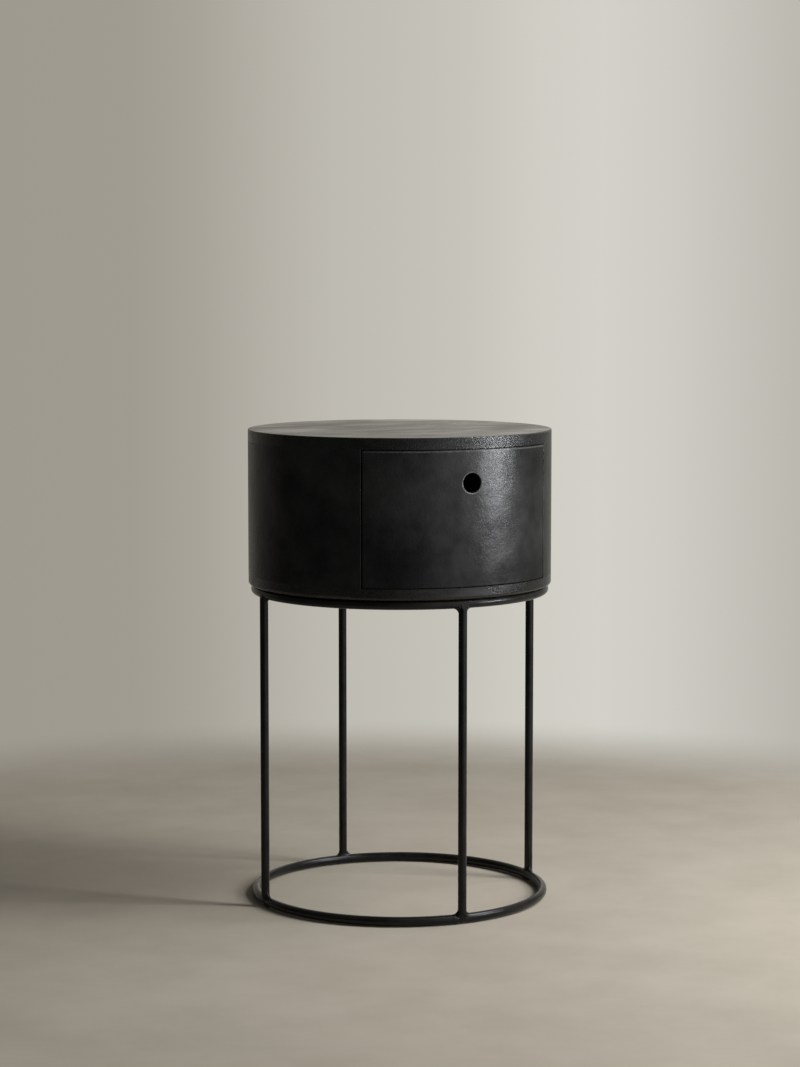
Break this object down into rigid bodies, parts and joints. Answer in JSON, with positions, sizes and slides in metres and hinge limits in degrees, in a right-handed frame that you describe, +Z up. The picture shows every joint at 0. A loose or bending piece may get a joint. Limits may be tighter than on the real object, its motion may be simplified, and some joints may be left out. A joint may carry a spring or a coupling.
{
  "type": "round nightstand",
  "caption": "Round black bedside table: a drum with a curved drawer and finger hole, on a stand of welded round bar with a ring at top and base.",
  "frame": {"origin": "on the floor, under the axis of the drum", "axes": "+Z up, the drawer faces -Y and slides out that way, +X to the right of someone facing it"},
  "size_m": [0.4, 0.4, 0.623],
  "materials": {
    "black_wood": "satin black stain, rubbed by hand",
    "drawer_wood": "matt dark stain with open grain",
    "black_steel": "satin black paint on welded bar",
    "rail_steel": "bright zinc",
    "cage_steel": "yellow zinc",
    "ball_steel": "polished",
    "screw_steel": "bright zinc",
    "dowel_wood": "raw beech",
    "bumper_rubber": "matt",
    "glide_plastic": "matt"
  },
  "bodies": {
    "carcass": {"top_panel": "black_wood", "bottom_panel": "black_wood", "drum_wall": "black_wood", "left_runner_panel": "drawer_wood", "right_runner_panel": "drawer_wood", "base_ring": "black_steel", "top_ring": "black_steel", "leg_front": "black_steel", "leg_right": "black_steel", "leg_back": "black_steel", "leg_left": "black_steel", "base_weld_beads": "black_steel", "top_weld_beads": "black_steel", "mounting_lugs": "black_steel", "lug_screws": "black_steel", "left_cabinet_rail": "rail_steel", "right_cabinet_rail": "rail_steel", "runner_panel_screws": "screw_steel", "cabinet_rail_screws": "screw_steel", "wall_dowels": "dowel_wood", "runner_panel_dowels": "dowel_wood", "closing_bumpers": "bumper_rubber", "floor_glides": "glide_plastic"},
    "drawer": {"drawer_front": "black_wood", "left_drawer_side": "drawer_wood", "right_drawer_side": "drawer_wood", "drawer_back": "drawer_wood", "drawer_base": "drawer_wood", "corner_blocks": "drawer_wood", "corner_block_screws": "screw_steel", "drawer_back_screws": "screw_steel", "left_drawer_rail": "rail_steel", "right_drawer_rail": "rail_steel", "drawer_rail_screws": "screw_steel"},
    "left_slider": {"left_middle_rail": "rail_steel"},
    "right_slider": {"right_middle_rail": "rail_steel"},
    "left_outer_bearing": {"left_outer_ball_cage": "cage_steel", "left_outer_balls": "ball_steel"},
    "right_outer_bearing": {"right_outer_ball_cage": "cage_steel", "right_outer_balls": "ball_steel"},
    "left_inner_bearing": {"left_inner_ball_cage": "cage_steel", "left_inner_balls": "ball_steel"},
    "right_inner_bearing": {"right_inner_ball_cage": "cage_steel", "right_inner_balls": "ball_steel"}
  },
  "joints": [
    {"name": "drawer_slide", "type": "slide", "parent": "carcass", "child": "drawer", "axis": [0, -1, 0], "range_m": [0, 0.25]},
    {"name": "left_slider_slide", "type": "slide", "parent": "carcass", "child": "left_slider", "axis": [0, -1, 0], "range_m": [0, 0.125]},
    {"name": "right_slider_slide", "type": "slide", "parent": "carcass", "child": "right_slider", "axis": [0, -1, 0], "range_m": [0, 0.125]},
    {"name": "left_outer_bearing_slide", "type": "slide", "parent": "carcass", "child": "left_outer_bearing", "axis": [0, -1, 0], "range_m": [0, 0.0625]},
    {"name": "right_outer_bearing_slide", "type": "slide", "parent": "carcass", "child": "right_outer_bearing", "axis": [0, -1, 0], "range_m": [0, 0.0625]},
    {"name": "left_inner_bearing_slide", "type": "slide", "parent": "carcass", "child": "left_inner_bearing", "axis": [0, -1, 0], "range_m": [0, 0.1875]},
    {"name": "right_inner_bearing_slide", "type": "slide", "parent": "carcass", "child": "right_inner_bearing", "axis": [0, -1, 0], "range_m": [0, 0.1875]}
  ],
  "couplings": [
    {"joint": "left_slider_slide", "follows": "drawer_slide", "ratio": 0.5},
    {"joint": "right_slider_slide", "follows": "drawer_slide", "ratio": 0.5},
    {"joint": "left_outer_bearing_slide", "follows": "drawer_slide", "ratio": 0.25},
    {"joint": "right_outer_bearing_slide", "follows": "drawer_slide", "ratio": 0.25},
    {"joint": "left_inner_bearing_slide", "follows": "drawer_slide", "ratio": 0.75},
    {"joint": "right_inner_bearing_slide", "follows": "drawer_slide", "ratio": 0.75}
  ]
}
